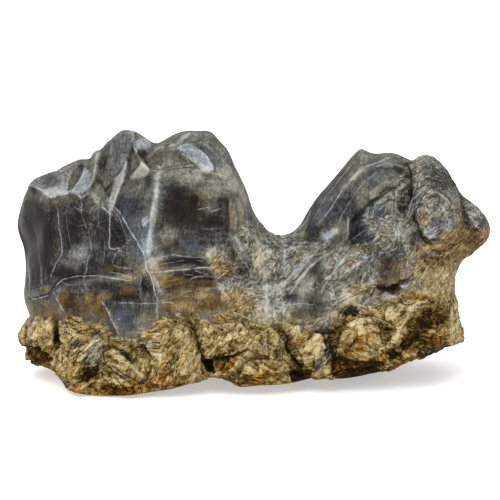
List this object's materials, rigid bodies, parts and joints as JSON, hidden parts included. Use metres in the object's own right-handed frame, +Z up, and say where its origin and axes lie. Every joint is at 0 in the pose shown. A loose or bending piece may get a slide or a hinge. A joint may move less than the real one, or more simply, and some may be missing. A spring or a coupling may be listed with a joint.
{
  "type": "viewing stone",
  "caption": "Natural mountain-form stone with a pass between a polished massif and a rough peak, on a broken ochre crust; rests on its flat base.",
  "frame": {"origin": "bottom centre of the stone's bounding box, on the ground it rests on", "axes": "+X along the stone, from the polished massif to the rough peak; -Y toward the viewer of the show face; +Z up"},
  "size_m": [0.3192, 0.1376, 0.17],
  "materials": {
    "stone": "dark water-polished face with pale veins, rough ochre crust along the foot"
  },
  "bodies": {
    "root": {"stone": "stone"}
  },
  "joints": []
}
